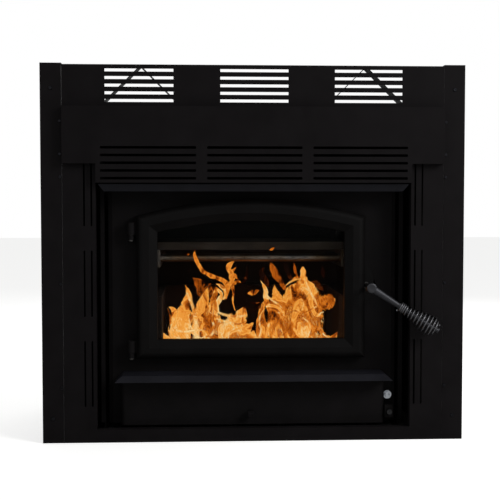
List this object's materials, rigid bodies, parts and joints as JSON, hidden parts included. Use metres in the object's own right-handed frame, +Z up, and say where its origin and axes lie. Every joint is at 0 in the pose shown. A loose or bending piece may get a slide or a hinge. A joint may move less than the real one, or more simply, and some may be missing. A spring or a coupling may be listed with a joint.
{
  "type": "zero clearance fireplace",
  "caption": "Built-in wood fireplace with an insulated steel casing, louvred face, arched glass door, coil-grip latch handle and a blower.",
  "frame": {"origin": "on the floor, on the centre line, in the plane of the face", "axes": "+X to the viewer's right, +Y back into the wall, +Z up"},
  "size_m": [1.03, 0.6648, 0.92],
  "materials": {
    "stove_black": "matte high-temperature stove paint",
    "face_black": "matte black powder coat",
    "cast_black": "matte stove paint on cast iron",
    "galvanised_steel": "galvanised sheet",
    "mineral_wool": "rigid mineral wool board faced with black glass mat",
    "firebrick": "fired, sooted",
    "baffle_fibre": "ceramic fibre board",
    "stainless": "heat-tinted stainless steel",
    "ceramic_glass": "clear ceramic glass",
    "gasket_rope": "braided glass fibre",
    "nickel_coil": "nickel-plated spring wire",
    "handle_steel": "nickel-plated bar",
    "pin_steel": "plain steel",
    "stat_aluminium": "bright aluminium",
    "dial_plastic": "black phenolic",
    "screw_black": "black oxide"
  },
  "bodies": {
    "root": {"base_pan": "galvanised_steel", "casing_left": "galvanised_steel", "casing_right": "galvanised_steel", "casing_back": "galvanised_steel", "casing_top": "galvanised_steel", "insulation_walls": "mineral_wool", "insulation_top": "mineral_wool", "nailing_strip_left": "face_black", "nailing_strip_right": "face_black", "grille_panel": "face_black", "header_panel": "face_black", "side_panel_left": "face_black", "side_panel_right": "face_black", "bottom_rail": "face_black", "top_standoff_left": "face_black", "top_standoff_right": "face_black", "jacket_left": "stove_black", "jacket_right": "stove_black", "jacket_back": "stove_black", "jacket_top": "stove_black", "front_plate": "stove_black", "firebox_bottom": "stove_black", "firebox_sides": "stove_black", "firebox_back": "stove_black", "firebox_top": "stove_black", "support_rails": "stove_black", "firebricks_floor": "firebrick", "firebricks_sides": "firebrick", "firebricks_back": "firebrick", "air_manifolds": "stainless", "secondary_air_tubes": "stainless", "baffle_board": "baffle_fibre", "flue_outlet": "stove_black", "chimney_anchor_plate": "galvanised_steel", "hood_deflector": "stove_black", "ash_shelf": "stove_black", "lower_panel": "stove_black", "hinge_lugs": "stove_black", "hinge_pins": "pin_steel", "air_intake_box": "stove_black", "fan_control_box": "stove_black", "thermostat_bracket": "stove_black", "thermostat": "stat_aluminium", "blower_motor": "pin_steel", "blower_housings": "galvanised_steel", "panel_screws": "screw_black"},
    "door": {"door_frame": "cast_black", "door_glass": "ceramic_glass", "glass_gasket": "gasket_rope", "glass_retainers": "stainless", "door_gasket": "gasket_rope", "hinge_knuckles": "stove_black", "latch_bushing": "pin_steel"},
    "handle": {"handle_lever": "handle_steel", "spring_handle": "nickel_coil", "latch_cam": "pin_steel"},
    "air_control": {"air_damper": "stove_black", "air_control_knob": "stove_black"},
    "fan_dial": {"fan_speed_dial": "dial_plastic"},
    "blower_rotor": {"blower_rotor": "galvanised_steel"}
  },
  "joints": [
    {"name": "door_hinge", "type": "hinge", "parent": "root", "child": "door", "pos_m": [-0.303, 0.055, 0.36], "axis": [0, 0, -1], "range_deg": [0, 115]},
    {"name": "handle_latch", "type": "hinge", "parent": "door", "child": "handle", "pos_m": [0.285, 0, 0.377], "axis": [0, -1, 0], "range_deg": [0, 75]},
    {"name": "air_slide", "type": "slide", "parent": "root", "child": "air_control", "axis": [0, -1, 0], "range_m": [0, 0.055]},
    {"name": "fan_dial_turn", "type": "hinge", "parent": "root", "child": "fan_dial", "pos_m": [0.341, 0.04, 0.061], "axis": [0, -1, 0], "range_deg": [0, 270]},
    {"name": "rotor_spin", "type": "hinge", "parent": "root", "child": "blower_rotor", "pos_m": [0, 0.51615, 0.054], "axis": [1, 0, 0], "continuous": true}
  ]
}
